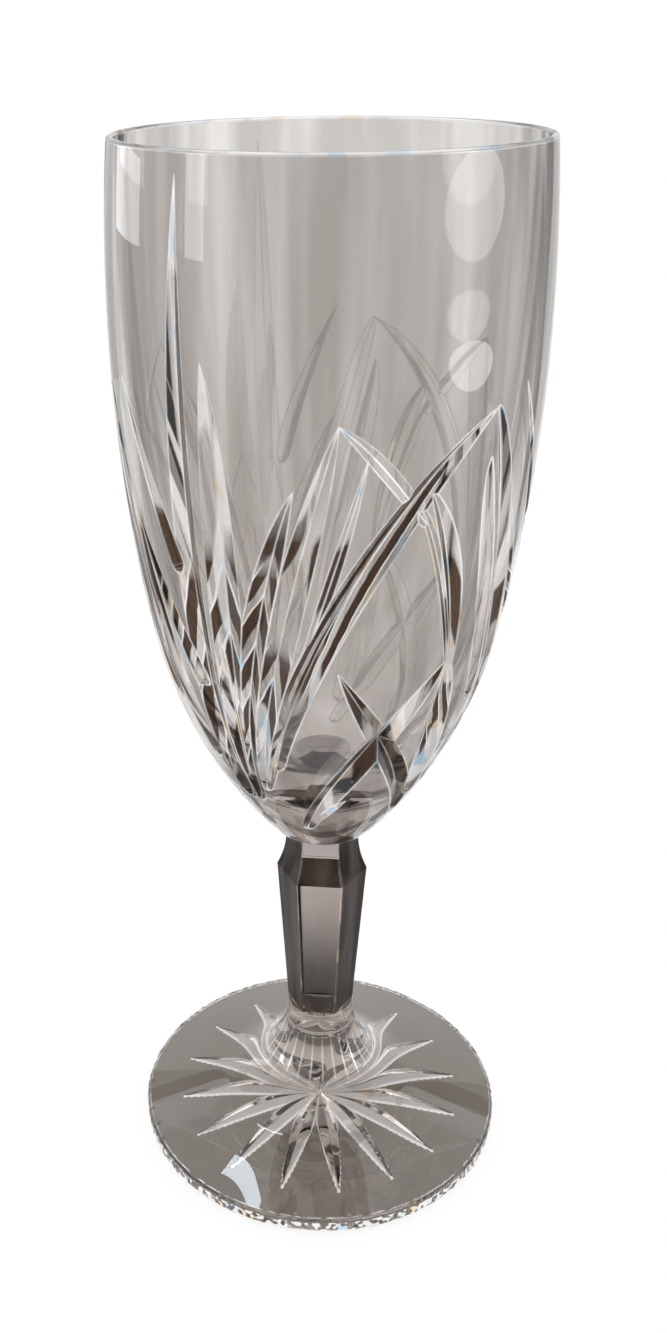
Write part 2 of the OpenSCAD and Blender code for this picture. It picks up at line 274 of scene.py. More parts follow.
BOWL_Z = FOOT_H + STEM_H
LIP_Z = BOWL_Z + BOWL_H - LIP_WALL / 2
BELLY_Z = BOWL_Z + BELLY_SHARE * BOWL_H
HEEL_Z = BOWL_Z + HEEL_SHARE * BOWL_H
lip_out = np.array([(BOWL_D - LIP_DRAW) / 2, LIP_Z])
belly_out = np.array([BOWL_D / 2, BELLY_Z])
wall_sag = LIP_DRAW / 2
wall_rise = LIP_Z - BELLY_Z
wall_r = (wall_rise ** 2 + wall_sag ** 2) / (2 * wall_sag)
wall_c = np.array([belly_out[0] - wall_r, BELLY_Z])
heel_out = np.array([arc_r(wall_c, wall_r, HEEL_Z), HEEL_Z])
heel_n = (heel_out - wall_c) / wall_r
heel_r = run_on(heel_out, heel_n, np.array([BASE_D / 2, BOWL_Z]))
heel_c = heel_out - heel_r * heel_n
lip_in = lip_out - [LIP_WALL, 0]
belly_in = belly_out - [BELLY_WALL, 0]
heel_in = heel_out - [HEEL_WALL, 0]
in_c = arc_centre(lip_in, belly_in, heel_in)
in_r = np.linalg.norm(lip_in - in_c)
in_n = (heel_in - in_c) / in_r
bottom_r = heel_in[0] - BOTTOM_STEP
bottom_c = np.array([0, BOWL_Z + BASE_T + bottom_r])
turn_r = bottom_r + run_on(heel_in - bottom_r * in_n, in_n, bottom_c)
turn_c = heel_in - turn_r * in_n
bottom_z = bottom_c[1] + bottom_r * (bottom_c[1] - turn_c[1]) / np.linalg.norm(bottom_c - turn_c)


def outside(z):
    """Radius of the outside of the bowl at height z, and its normal as a radius and a height."""
    z = np.asarray(z, float)
    high = z >= HEEL_Z
    c0 = np.where(high, wall_c[0], heel_c[0])
    c1 = np.where(high, wall_c[1], heel_c[1])
    r = np.where(high, wall_r, heel_r)
    rad = c0 + np.sqrt(r * r - (z - c1) ** 2)
    return rad, np.stack([(rad - c0) / r, (z - c1) / r], -1)


def inside(z):
    """The same for the inside of the bowl, with the normal toward the axis."""
    z = np.asarray(z, float)
    high, low = z >= HEEL_Z, z < bottom_z
    c0 = np.where(high, in_c[0], np.where(low, 0, turn_c[0]))
    c1 = np.where(high, in_c[1], np.where(low, bottom_c[1], turn_c[1]))
    r = np.where(high, in_r, np.where(low, bottom_r, turn_r))
    rad = c0 + np.sqrt(np.maximum(r * r - (z - c1) ** 2, 0))
    return rad, np.stack([(c0 - rad) / r, (c1 - z) / r], -1)


def turned(a, rz):
    """Places or directions given by a radius and a height, turned to angle a from the front."""
    return np.stack([rz[..., 0] * np.sin(a), -rz[..., 0] * np.cos(a), rz[..., 1]], -1)


# Cuts

def along(a, b, c, t):
    """Value at share t of the curve through a, b at its middle, and c."""
    return (1 - t) * (1 - 2 * t) * a + 4 * t * (1 - t) * b + t * (2 * t - 1) * c


def cut_frame(row, t, group=0):
    """Place on the outside of the bowl at share t of a cut, with its outward and sideways directions."""

    def place(s):
        a = np.radians(GROUP_TURN + (group + along(row[0], row[2], row[4], s)) * 360 / GROUPS)
        z = BOWL_Z + along(row[1], row[3], row[5], s) * BOWL_H
        rad, n = outside(z)
        return turned(a, np.stack([rad, z], -1)), turned(a, n)

    p, n = place(t)
    side = np.cross(n, place(np.minimum(t + WALK_SHARE, 1))[0] - place(np.maximum(t - WALK_SHARE, 0))[0])
    return p, n, side / np.linalg.norm(side, axis=-1, keepdims=True)


def cut_size(row, t):
    """Half width and depth of a cut at share t."""
    return along(0, row[6], row[7], t) * CUT_W / 2, along(0, row[8], row[9], t) * CUT_D


def cut_slope(row):
    """Half width of a cut for each mm of its depth, in its middle."""
    return row[6] * CUT_W / 2 / (row[8] * CUT_D)


def cutter(row):
    """Closed V-shaped body that cuts one groove, with its walls as kinds 1 and 2. Its lower end tapers out."""
    t = np.linspace(0, 1, CUT_STEPS + 1)
    p, n, x = cut_frame(row, t)
    w, d = cut_size(row, t)
    run = p[-1] - p[-2]
    run /= np.linalg.norm(run)
    for share in TAPER_SHARES:
        p = np.vstack([p, p[CUT_STEPS] + run * w[CUT_STEPS] * TAPER_RUN * share])
        n = np.vstack([n, n[CUT_STEPS]])
        x = np.vstack([x, x[CUT_STEPS]])
        shrink = math.sqrt(1 - share ** 2)
        w = np.append(w, w[CUT_STEPS] * shrink)
        d = np.append(d, d[CUT_STEPS] * shrink)
    low = p - d[:, None] * n
    wide = (w + OVER * cut_slope(row))[:, None] * x
    top = p + OVER * n
    verts = np.stack([low, top + wide, top - wide], 1).reshape(-1, 3)
    count = len(p)
    faces, kinds = [], []
    for i in range(count - 1):
        a, b = 3 * i, 3 * i + 3
        faces += [(a + 1, b + 1, b, a), (a + 2, b + 2, b + 1, a + 1), (a, b, b + 2, a + 2)]
        kinds += [1, 0, 2]
    faces += [(2, 1, 0), (3 * count - 3, 3 * count - 2, 3 * count - 1)]
    kinds += [0, 0]
    return verts, faces, kinds


# Meshes

def mesh_object(name, verts, faces, kinds=None):
    """Object with a mesh from places in mm, and a kind for each face."""
    mesh = bpy.data.meshes.new(name)
    mesh.from_pydata([tuple(v) for v in np.asarray(verts) * MM], [], [tuple(f) for f in faces])
    if kinds is not None:
        mesh.attributes.new("kind", "INT", "FACE").data.foreach_set("value", kinds)
    obj = bpy.data.objects.new(name, mesh)
    bpy.context.scene.collection.objects.link(obj)
    return obj


def lathe_faces(rows, columns, kinds):
    """Quads between rings of points, one kind of face for each band."""
    faces, out = [], []
    for i in range(rows - 1):
        for j in range(columns):
            k = (j + 1) % columns
            faces.append((i * columns + j, i * columns + k, (i + 1) * columns + k, (i + 1) * columns + j))
            out.append(kinds[i])
    return faces, out


def angles(columns):
    """Angles of a ring's columns from the front."""
    return np.arange(columns) * 2 * math.pi / columns


def ring(a, r, z):
    """Ring of places round the axis; the radius and the height are numbers or one for each angle."""
    return turned(a, np.stack([np.zeros_like(a) + r, np.zeros_like(a) + z], -1))


def ring_at(places, z):
    """Flat ring of places at height z."""
    return np.concatenate([places, np.full((len(places), 1), z)], 1)


def hexagon(half):
    """Ring of places on a six-sided outline with rounded corners and flats square to Y."""
    places = []
    for side in range(SIDES):
        a = 2 * math.pi * side / SIDES
        nx, ny, tx, ty = math.sin(a), -math.cos(a), math.cos(a), math.sin(a)
        reach = (half - STEM_ROUND) * math.tan(math.pi / SIDES)
        edge = reach - EDGE_STRIP
        for s in (-edge, -edge / 2, 0, edge / 2, edge):
            places.append((nx * half + tx * s, ny * half + ty * s))
        for turn in CORNER_TURNS:
            b = a + math.radians(turn)
            places.append((nx * (half - STEM_ROUND) + tx * reach + STEM_ROUND * math.sin(b),
                           ny * (half - STEM_ROUND) + ty * reach - STEM_ROUND * math.cos(b)))
    return np.array(places)


def stem_rows():
    """Heights of the stem above its bottom with its half width across the flats, and its ridge's height."""
    shaft = SHAFT_W * FLAT_SHARE
    ridge = np.array([RIDGE_W * FLAT_SHARE, STEM_H - RIDGE_DROP])
    neck = np.array([NECK_W * FLAT_SHARE, STEM_H - NECK_DROP])
    top = np.array([STEM_TOP_W * FLAT_SHARE, STEM_H])
    c = arc_centre(ridge, neck, top)
    r = np.linalg.norm(ridge - c)
    z_low = [0, EDGE_STRIP, *np.linspace(EDGE_STRIP, ridge[1] - EDGE_STRIP, SHAFT_ROWS)[1:]]
    rows = [(z, shaft + (ridge[0] - shaft) * z / ridge[1]) for z in z_low]
    for z in np.linspace(ridge[1], STEM_H, NECK_ROWS):
        rows.append((z, c[0] - np.sqrt(r * r - (z - c[1]) ** 2)))
    return rows, ridge[1]


def stem_mesh():
    """Six-sided stem: a taper that widens to a ridge, then a scooped neck."""
    rows, ridge_z = stem_rows()
    rings = [ring_at(hexagon(half), FOOT_H + z) for z, half in rows]
    rings[0][:, 2] += JOINT_GAP
    rings[-1][:, 2] -= JOINT_GAP
    bands = []
    # Faces under the neck get painted light, and those of the shoulder over the ridge painted shade
    for z, _ in rows[:-1]:
        neck = z >= STEM_H - NECK_DROP - NECK_UP
        shoulder = 0 <= z - ridge_z <= SHOULDER
        bands.append(NECK if neck else CUT_KIND if shoulder else 0)
    columns = len(rings[0])
    faces, kinds = lathe_faces(len(rings), columns, bands)
    last = (len(rings) - 1) * columns
    faces += [tuple(range(columns - 1, -1, -1)), tuple(range(last, last + columns))]
    return mesh_object("goblet_stem", np.concatenate(rings), faces, kinds + [JOINT, JOINT])


def leaf_height(a, r):
    """Height of a ray's leaf shape above the table, less than nothing outside it."""
    pitch = 360 / RAYS
    off = np.radians((np.degrees(a) % pitch) - pitch / 2)
    reach, side = r * np.cos(off), np.abs(r * np.sin(off))
    leaf = 1 - ((reach - LEAF_R) / (RAY_R - LEAF_R)) ** 2
    return LEAF_D * leaf - side * 2 * STAR_D / STAR_W


def star_height(a, r):
    """Height of the underside of the foot above the table, in the star's V-shaped rays."""
    z = leaf_height(a, r)
    return (z + np.sqrt(z * z + STAR_SOFT ** 2)) / 2


def foot_chips():
    """How far the ground edge is chipped in at each column, for its lower and its upper half."""
    chips = np.random.default_rng(CHIP_SEED).random((2, FOOT_COLUMNS))
    chips = sum(np.roll(chips, i, 1) for i in range(CHIP_COLUMNS)) / CHIP_COLUMNS
    return CHIP_D * (chips - chips.min()) / (chips.max() - chips.min())


def foot_top(slope_end):
    """Radius and height of the foot's low slope, and of the curve that rises to the stem."""
    flare_c = np.array([SHAFT_W / 2 + FLARE_R, FOOT_H])
    v = flare_c - slope_end
    turn = math.atan2(v[1], v[0]) + math.asin(FLARE_R / np.linalg.norm(v))
    start = slope_end + math.sqrt(v @ v - FLARE_R ** 2) * np.array([math.cos(turn), math.sin(turn)])
    b0 = math.atan2(start[1] - flare_c[1], start[0] - flare_c[0]) % (2 * math.pi)
    slope = [slope_end + (start - slope_end) * s for s in np.linspace(0, 1, SLOPE_ROWS)]
    flare = [flare_c + FLARE_R * np.array([math.cos(b), math.sin(b)])
             for b in np.linspace(b0, math.pi, FLARE_ROWS)[1:]]
    return slope + flare


def foot_mesh():
    """Round foot: star underneath, rounded edge, low slope and a curve that rises to the stem."""
    a = angles(FOOT_COLUMNS)
    flat_r = FOOT_D / 2 - EDGE_ROUND
    rings = [ring(a, r, star_height(a, r)) for r in np.linspace(STAR_START, RAY_R + STAR_PAST, STAR_ROWS)]
    rings += [ring(a, r, 0) for r in np.linspace(RAY_R + 2 * STAR_PAST, flat_r, FLAT_ROWS)]
    under = len(rings)
    chips_low, chips_high = foot_chips()
    for b in np.radians(np.arange(EDGE_ROW_DEG, 91, EDGE_ROW_DEG)):
        r = flat_r + EDGE_ROUND * math.sin(b)
        rings.append(ring(a, r - chips_low, EDGE_ROUND - EDGE_ROUND * math.cos(b)))
    edge = len(rings) - under + 1
    for b in np.radians(np.arange(0, 90, EDGE_ROW_DEG)):
        r = flat_r + EDGE_ROUND * math.cos(b)
        rings.append(ring(a, r - chips_high, EDGE_T - EDGE_ROUND + EDGE_ROUND * math.sin(b)))
    rings += [ring(a, r, z) for r, z in foot_top(np.array([flat_r, EDGE_T]))]
    bands = [BELOW] * (under - 1) + [EDGE] * edge
    faces, kinds = lathe_faces(len(rings), FOOT_COLUMNS, bands + [0] * (len(rings) - 1 - len(bands)))
    faces.append(tuple(range(FOOT_COLUMNS - 1, -1, -1)))
    verts = np.concatenate(rings)
    lifted = verts[:, 2] > STAR_SOFT
    kinds = [CUT_KIND if kind == BELOW and sum(lifted[v] for v in face) > 1 else kind
             for face, kind in zip(faces, kinds)]
    seat = ring_at(hexagon(SHAFT_W * FLAT_SHARE), FOOT_H)
    last = (len(rings) - 1) * FOOT_COLUMNS
    return cap(verts, faces, kinds + [CUT_KIND], last, FOOT_COLUMNS, seat, "goblet_foot")


def mark_foot(mesh):
    """Height of the star's rays as shares of their depth, and the painted highlight lines round the stem's
    foot.
    """
    x, y, z = values_of(mesh.vertices, "co", 3).T / MM
    a, r = np.arctan2(x, -y), np.hypot(x, y)
    low = z < LEAF_D * 2
    ray = np.where(low, leaf_height(a, r) / LEAF_D, 0)
    pitch = 2 * math.pi / FOOT_LINES
    off = np.abs((a / pitch) % 1 - 0.5) * pitch * r
    span = np.clip(np.minimum(r - FOOT_LINE_R[0], FOOT_LINE_R[1] - r) / FOOT_LINE_FADE, 0, 1)
    line = np.where(low, 0, np.clip(1 - off / FOOT_LINE_W, 0, 1) * span)
    mark(mesh, "POINT", ray=ray, flute=line)


def cap(verts, faces, kinds, first, count, seat, name, up=True):
    """Closes a ring with a flat ring of faces round a seat, and the seat itself as a joint."""
    base = len(verts)
    verts = np.concatenate([verts, seat])
    ring_a = np.arctan2(verts[first:first + count, 1], verts[first:first + count, 0])
    seat_a = np.arctan2(seat[:, 1], seat[:, 0])
    outer = sorted(((first + i, ring_a[i]) for i in range(count)), key=lambda q: q[1])
    inner = sorted(((base + i, seat_a[i]) for i in range(len(seat))), key=lambda q: q[1])
    i = j = 0
    while i < len(outer) or j < len(inner):
        o0, o1 = outer[i % len(outer)], outer[(i + 1) % len(outer)]
        n0, n1 = inner[j % len(inner)], inner[(j + 1) % len(inner)]
        next_o = outer[i + 1][1] if i + 1 < len(outer) else outer[0][1] + 2 * math.pi
        next_n = inner[j + 1][1] if j + 1 < len(inner) else inner[0][1] + 2 * math.pi
        if j >= len(inner) or (i < len(outer) and next_o <= next_n):
            face = (o0[0], o1[0], n0[0])
            i += 1
        else:
            face = (o0[0], n1[0], n0[0])
            j += 1
        faces.append(face if up else face[::-1])
        kinds.append(0)
    seat_face = tuple(q[0] for q in inner)
    faces.append(seat_face if up else seat_face[::-1])
    kinds.append(JOINT)
    return mesh_object(name, verts, faces, kinds)


def bowl_mesh():
    """Bowl as a turned body, before its cuts."""
    z_out = np.concatenate([np.linspace(BOWL_Z, HEEL_Z, HEEL_ROWS)[:-1],
                            np.linspace(HEEL_Z, LIP_Z, WALL_ROWS)])
    r_out, _ = outside(z_out)
    lip = np.linspace(0, math.pi, LIP_ROWS)[1:-1]
    lip_r = lip_out[0] - LIP_WALL / 2 + LIP_WALL / 2 * np.cos(lip)
    lip_zs = LIP_Z + LIP_WALL / 2 * np.sin(lip)
    drop = np.concatenate([np.linspace(LIP_Z, HEEL_Z, WALL_ROWS)[:-1],
                           np.linspace(HEEL_Z, bottom_z, TURN_ROWS)[:-1]])
    r_in, _ = inside(drop)
    turn = np.linspace(math.acos((bottom_c[1] - bottom_z) / bottom_r), 0, BOTTOM_ROWS)[:-1]
    r_all = np.concatenate([r_out, lip_r, r_in, bottom_r * np.sin(turn)])
    z_all = np.concatenate([z_out, lip_zs, drop, bottom_c[1] - bottom_r * np.cos(turn)])
    bands = [OUTSIDE] * (len(r_out) - 1) + [LIP] * (len(lip) + 1) + [INSIDE] * len(r_in)
    # The bottom's faces inside a radius get painted shade
    bands += [BELOW if bottom_r * math.sin(b) < BOTTOM_SHADE_R else INSIDE for b in turn[:-1]]
    faces, kinds = lathe_faces(len(r_all), BOWL_COLUMNS, bands)
    a = angles(BOWL_COLUMNS)
    verts = np.concatenate([ring(a, r, z) for r, z in zip(r_all, z_all)])
    last = (len(r_all) - 1) * BOWL_COLUMNS
    faces.append(tuple(range(last, last + BOWL_COLUMNS)))
    kinds.append(BELOW)
    seat = ring_at(hexagon(STEM_TOP_W * FLAT_SHARE), BOWL_Z)
    return cap(verts, faces, kinds, 0, BOWL_COLUMNS, seat, "goblet_bowl", up=False)


def add_boolean(obj, tool, operation):
    """Adds a modifier that joins another object to an object or takes it away."""
    mod = obj.modifiers.new(tool.name, "BOOLEAN")
    mod.operation = operation
    mod.solver = "MANIFOLD"
    mod.object = tool


def settle(obj):
    """Turns an object's modifiers into its own mesh."""
    dg = bpy.context.evaluated_depsgraph_get()
    done = bpy.data.meshes.new_from_object(obj.evaluated_get(dg), preserve_all_data_layers=True, depsgraph=dg)
    obj.modifiers.clear()
    obj.data = done


def cut_out(obj):
    """Takes every cut out of the bowl's mesh: one group's cutters are joined, then turned copies of them."""
    tools = []
    for i, row in enumerate(CUTS):
        verts, faces, kinds = cutter(row)
        tools.append(mesh_object(f"cutter_{i}", verts, faces, [CUT_KIND * (i + 1) + k for k in kinds]))
    first = tools[0]
    for tool in tools[1:]:
        add_boolean(first, tool, "UNION")
    settle(first)
    kinds = kinds_of(first.data)
    copies = []
    for group in range(1, GROUPS):
        copy = bpy.data.objects.new(f"cutter_group_{group}", first.data.copy())
        copy.data.transform(Matrix.Rotation(math.radians(group * 360 / GROUPS), 4, "Z"))
        copy.data.attributes["kind"].data.foreach_set("value", kinds + GROUP_KIND * group)
        bpy.context.scene.collection.objects.link(copy)
        copies.append(copy)
    for copy in copies:
        add_boolean(first, copy, "UNION")
    settle(first)
    add_boolean(obj, first, "DIFFERENCE")
    settle(obj)
    for tool in tools + copies:
        bpy.data.objects.remove(tool)


# Normals and marks

def values_of(items, name, width=1, number=float):
    """One property of all vertices, corners or faces of a mesh, as an array."""
    values = np.zeros(len(items) * width, number)
    items.foreach_get(name, values)
    return values.reshape(-1, width) if width > 1 else values


def kinds_of(mesh):
    """Kind of every face."""
    return values_of(mesh.attributes["kind"].data, "value", number=int)


def corners_of(mesh):
    """Kind of face and place in mm of every corner, and how many corners each face has."""
    totals = values_of(mesh.polygons, "loop_total", number=int)
    at = values_of(mesh.loops, "vertex_index", number=int)
    return np.repeat(kinds_of(mesh), totals), values_of(mesh.vertices, "co", 3)[at] / MM, totals


def cut_walls(kind):
    """Mask of the corners on every wall of a cut, with its group, its row and its side as 1 or -1."""
    for code in np.unique(kind[kind >= CUT_KIND]):
        group, rest = divmod(int(code), GROUP_KIND)
        cut, wall = divmod(rest, CUT_KIND)
        if wall:
            yield kind == code, group, cut - 1, 1 if wall == 1 else -1


def cut_normals(points, row, group, side):
    """Directions out of the glass on one wall of a cut, at places on that wall."""
    t = np.linspace(0, 1, WALK_STEPS)
    p, n, x = cut_frame(row, t, group)
    at = ((points[:, None] - p[None]) ** 2).sum(-1).argmin(1)
    w, d = cut_size(row, t)
    wide = np.where(d > TINY, w / np.maximum(d, TINY), cut_slope(row))
    run = np.gradient(p - d[:, None] * n, axis=0)
    out = np.cross(run, n + side * wide[:, None] * x) * side
    out /= np.linalg.norm(out, axis=1, keepdims=True)
    out *= np.sign((out * n).sum(1, keepdims=True))
    return out[at]


def smooth_bowl(mesh):
    """Gives all corners the direction of the true surface there, so that only the cuts have edges."""
    kind, co, totals = corners_of(mesh)
    normals = np.repeat(values_of(mesh.polygons, "normal", 3), totals, 0)
    rad = np.hypot(co[:, 0], co[:, 1])
    round_dir = co[:, :2] / np.maximum(rad, TINY)[:, None]

    def spread(mask, rz):
        normals[mask] = np.concatenate([round_dir[mask] * rz[:, :1], rz[:, 1:]], 1)

    wall = kind == OUTSIDE
    spread(wall, outside(np.clip(co[wall, 2], BOWL_Z, LIP_Z))[1])
    wall = (kind == INSIDE) | (kind == BELOW)
    spread(wall, inside(np.clip(co[wall, 2], BOWL_Z + BASE_T, LIP_Z))[1])
    wall = kind == LIP
    lip = np.stack([rad[wall] - (lip_out[0] - LIP_WALL / 2), np.maximum(co[wall, 2] - LIP_Z, 0)], -1)
    spread(wall, lip / np.linalg.norm(lip, axis=1, keepdims=True))
    for wall, group, cut, side in cut_walls(kind):
        true = cut_normals(co[wall], CUTS[cut], group, side)
        near = (true * normals[wall]).sum(1) > math.cos(math.radians(WALL_CREASE))
        normals[wall] = np.where(near[:, None], true, normals[wall])
    mesh.shade_smooth()
    mesh.normals_split_custom_set(normals)


def smooth_by_angle(obj, degrees):
    """Makes faces smooth, with sharp edges where the surface turns by more than an angle."""
    bm = bmesh.new()
    bm.from_mesh(obj.data)
    for face in bm.faces:
        face.smooth = True
    for edge in bm.edges:
        edge.smooth = len(edge.link_faces) == 2 and edge.calc_face_angle() < math.radians(degrees)
    bm.to_mesh(obj.data)
    bm.free()


def mark(mesh, domain, **layers):
    """Adds numbers to a mesh for its material, under the names that it reads."""
    for name, values in layers.items():
        mesh.attributes.new(name, "FLOAT", domain).data.foreach_set("value", np.asarray(values, float))


def mark_chevrons(mesh):
    """Share along each chosen cut, slanted toward its edges, and how strongly the painted chevrons of shade
    and highlight show.
    """
    kind, co, _ = corners_of(mesh)
    place, show = np.zeros(len(kind)), np.zeros(len(kind))
    t = np.linspace(0, 1, WALK_STEPS)
    for wall, group, cut, _ in cut_walls(kind):
        if cut not in CHEVRONS:
            continue
        begin, end, run, slant = CHEVRONS[cut]
        p, _, x = cut_frame(CUTS[cut], t, group)
        near = ((co[wall][:, None] - p[None]) ** 2).sum(-1).argmin(1)
        half = np.maximum(cut_size(CUTS[cut], t)[0][near], THIN_CUT)
        across = np.abs(((co[wall] - p[near]) * x[near]).sum(1)) / half
        place[wall] = 1 + run * t[near] - slant * np.minimum(across, 1)
        show[wall] = np.clip(np.minimum(t[near] - begin, end - t[near]) / CHEVRON_FADE, 0, 1)
    mark(mesh, "CORNER", chevron=place, chevron_share=show)


# Shader nodes

def new_material(name):
    """Empty node material and its node tree."""
    mat = bpy.data.materials.new(name)
    mat.use_nodes = True
    mat.node_tree.nodes.clear()
    return mat, mat.node_tree


def node(tree, kind, **values):
    """A new node with its properties and inputs set by name; an output in their place is linked."""
    made = tree.nodes.new(kind)
    for key, value in values.items():
        if hasattr(made, key):
            setattr(made, key, value)
        else:
            feed(tree, value, made.inputs[key.replace("_", " ")])
    return made


def feed(tree, value, socket):
    """Links an output to a socket, or sets the socket to a number or a colour."""
    if isinstance(value, bpy.types.NodeSocket):
        tree.links.new(value, socket)
    elif socket.type == "RGBA":
        socket.default_value = (*value, 1)
    else:
        socket.default_value = value


def mix_of(tree, factor, a, b):
    """A colour mix; a and b are colours or outputs, factor a number or an output."""
    mix = node(tree, "ShaderNodeMix", data_type="RGBA")
    for index, value in ((0, factor), (6, a), (7, b)):
        feed(tree, value, mix.inputs[index])
    return mix.outputs[2]


def math_of(tree, operation, *values, clamp=False):
    """Result of an operation on numbers or outputs."""
    made = node(tree, "ShaderNodeMath", operation=operation, use_clamp=clamp)
    for index, value in enumerate(values):
        feed(tree, value, made.inputs[index])
    return made.outputs[0]


def product(tree, first, *others):
    """All the values times each other."""
    for other in others:
        first = math_of(tree, "MULTIPLY", first, other)
    return first


def largest(tree, first, *others):
    """The largest of the values."""
    for other in others:
        first = math_of(tree, "MAXIMUM", first, other)
    return first


def rest_of(tree, share):
    """What a share leaves of one."""
    return math_of(tree, "SUBTRACT", 1, share)


def share_of(tree, value, low, high):
    """Share from 0 to 1 that follows a value from low to high."""
    return node(tree, "ShaderNodeMapRange", Value=value, From_Min=low, From_Max=high).outputs["Result"]


def pattern(tree, place, name, own_stretch=None):
    """Share from 0 to 1 that follows one of the noises of the glass."""
    scale, stretch, low, high, detail = PATTERNS[name]
    shape = node(tree, "ShaderNodeMapping", Vector=place, Scale=stretch or own_stretch)
    noise = node(tree, "ShaderNodeTexNoise", Vector=shape.outputs["Vector"], Scale=scale, Detail=detail)
    return share_of(tree, noise.outputs["Fac"], low, high)


def blend(tree, share, a, b):
    """A mix of two shaders."""
    mix = node(tree, "ShaderNodeMixShader", Fac=share)
    tree.links.new(a, mix.inputs[1])
    tree.links.new(b, mix.inputs[2])
    return mix.outputs["Shader"]


def edges_of(tree, radius):
    """Share from 0 to 1 that is high close to any edge, where the rounded normal leaves the plain one."""
    rounded = node(tree, "ShaderNodeBevel", samples=EDGE_SAMPLES, Radius=radius * MM)
    plain = node(tree, "ShaderNodeNewGeometry").outputs["Normal"]
    dot = node(tree, "ShaderNodeVectorMath", operation="DOT_PRODUCT")
    tree.links.new(rounded.outputs["Normal"], dot.inputs[0])
    tree.links.new(plain, dot.inputs[1])
    return share_of(tree, dot.outputs["Value"], 1 - EDGE_TURN[0], 1 - EDGE_TURN[1])


# Glass

def glass_places(tree, look):
    """What the patterns of the glass go by: place, marks of the mesh, side and turn of the surface."""
    marks = ("joint", "facet", "under", "lip", "chipped", "chevron", "chevron_share", "ray", "pale", "flute")
    at = {name: node(tree, "ShaderNodeAttribute", attribute_name=name).outputs["Fac"] for name in marks}
    at["place"] = node(tree, "ShaderNodeTexCoord").outputs["Object"]
    at["height"] = node(tree, "ShaderNodeSeparateXYZ", Vector=at["place"]).outputs["Z"]
    at["cut_zone"] = share_of(tree, at["height"], PATCH_Z[0] * MM, PATCH_Z[1] * MM)
    at["inner"] = node(tree, "ShaderNodeNewGeometry").outputs["Backfacing"]
    at["outer"] = rest_of(tree, at["inner"])
    at["facing"] = node(tree, "ShaderNodeLayerWeight", Blend=0.5).outputs["Facing"]
    at["edge_on"] = share_of(tree, at["facing"], *look["turn"])
    return at


def chevrons_of(tree, at):
    """Shares of the chevrons' dark bands of painted shade, and of the painted highlight line along each."""
    wobble = product(tree, pattern(tree, at["place"], "wobble"), WOBBLE)
    steps = math_of(tree, "MULTIPLY_ADD", at["chevron"], CHEVRON_STEPS, wobble)
    step = math_of(tree, "FRACT", steps)
    band = share_of(tree, step, *CHEVRON_BAND)
    line = math_of(tree, "COMPARE", step, CHEVRON_LINE, CHEVRON_LINE_W)
    return (product(tree, band, at["chevron_share"]),
            product(tree, line, at["chevron_share"], CHEVRON_LINE_HIGHLIGHT))


def painted_shade_fill(tree, at, bands):
    """Share of painted shade on the outside of the cuts: dark chevron bands where they are, dark patches
    elsewhere low down.
    """
    patches = product(tree, pattern(tree, at["place"], "patches"), at["cut_zone"])
    fill = largest(tree, product(tree, patches, rest_of(tree, at["chevron_share"])), bands)
    return product(tree, fill, at["outer"], at["facet"])


def glass_tone(tree, look, at):
    """Colour of the glass face on and edge on, with painted shade edge on, in the dark cuts, below the foot
    and in the bowl's bottom, and painted light in the pale cuts and on the star's rays, before the painted
    shade of the dark chevrons and patches.
    """
    streaks = pattern(tree, at["place"], "streaks", look["stretch"])
    rise = share_of(tree, at["height"], look["rise"][0] * MM, look["rise"][1] * MM)
    face_on = mix_of(tree, rise, look["low"], mix_of(tree, streaks, look["clear"], look["streak"]))
    petal = product(tree, share_of(tree, at["ray"], *PETAL_IN), share_of(tree, at["ray"], *PETAL_OUT))
    facet = mix_of(tree, pattern(tree, at["place"], "facets"), look["facet_dark"], look["facet"])
    face_on = mix_of(tree, at["facet"], face_on, mix_of(tree, petal, facet, look["petal"]))
    face_on = mix_of(tree, at["under"], face_on, look["under"])
    rim = mix_of(tree, pattern(tree, at["place"], "rim_streaks"), look["rim"], look["rim_dark"])
    facet_rim = mix_of(tree, at["outer"], facet, look["facet_rim"])
    return mix_of(tree, at["edge_on"], face_on, mix_of(tree, at["facet"], rim, facet_rim))


def painted_highlight_share(tree, look, at, chevron_highlights):
    """Share of painted highlights: on edges, lip and chips, glints, outlines, lines round the stem's foot and
    in the chevrons.
    """
    broken, speckle, shards, dashes = (pattern(tree, at["place"], name)
                                       for name in ("broken", "speckle", "shards", "dashes"))
    outline = product(tree, share_of(tree, at["facing"], *OUTLINE), dashes, at["cut_zone"])
    return largest(
        tree,
        product(tree, edges_of(tree, look["edge_r"]), broken, look["edge_share"]),
        at["lip"],
        product(tree, speckle, at["chipped"], SPECKLE_SHARE),
        product(tree, outline, DASH_SHARE * look["glint_share"]),
        product(tree, at["flute"], FOOT_HIGHLIGHT_SHARE),
        product(tree, shards, at["facet"], look["glint_share"]),
        chevron_highlights,
    )


def shade_share(tree, look, at, pale, painted_highlight):
    """Share of matt tone: painted shade on the dark sides and shoulder, painted light on the pale neck, and
    painted dark lines where the wall turns away.
    """
    dark = largest(tree, at["edge_on"], product(tree, at["facet"], FACET_SHADE))
    side_on = share_of(tree, at["facing"], *SIDE_ON)
    lines = product(tree, side_on, pattern(tree, at["place"], "side_shade_lines"), look["side_shade_lines"])
    shade = largest(tree, product(tree, dark, look["shade_share"]), product(tree, pale, NECK_LIGHT_SHARE), lines)
    return math_of(tree, "SUBTRACT", shade, painted_highlight, clamp=True)


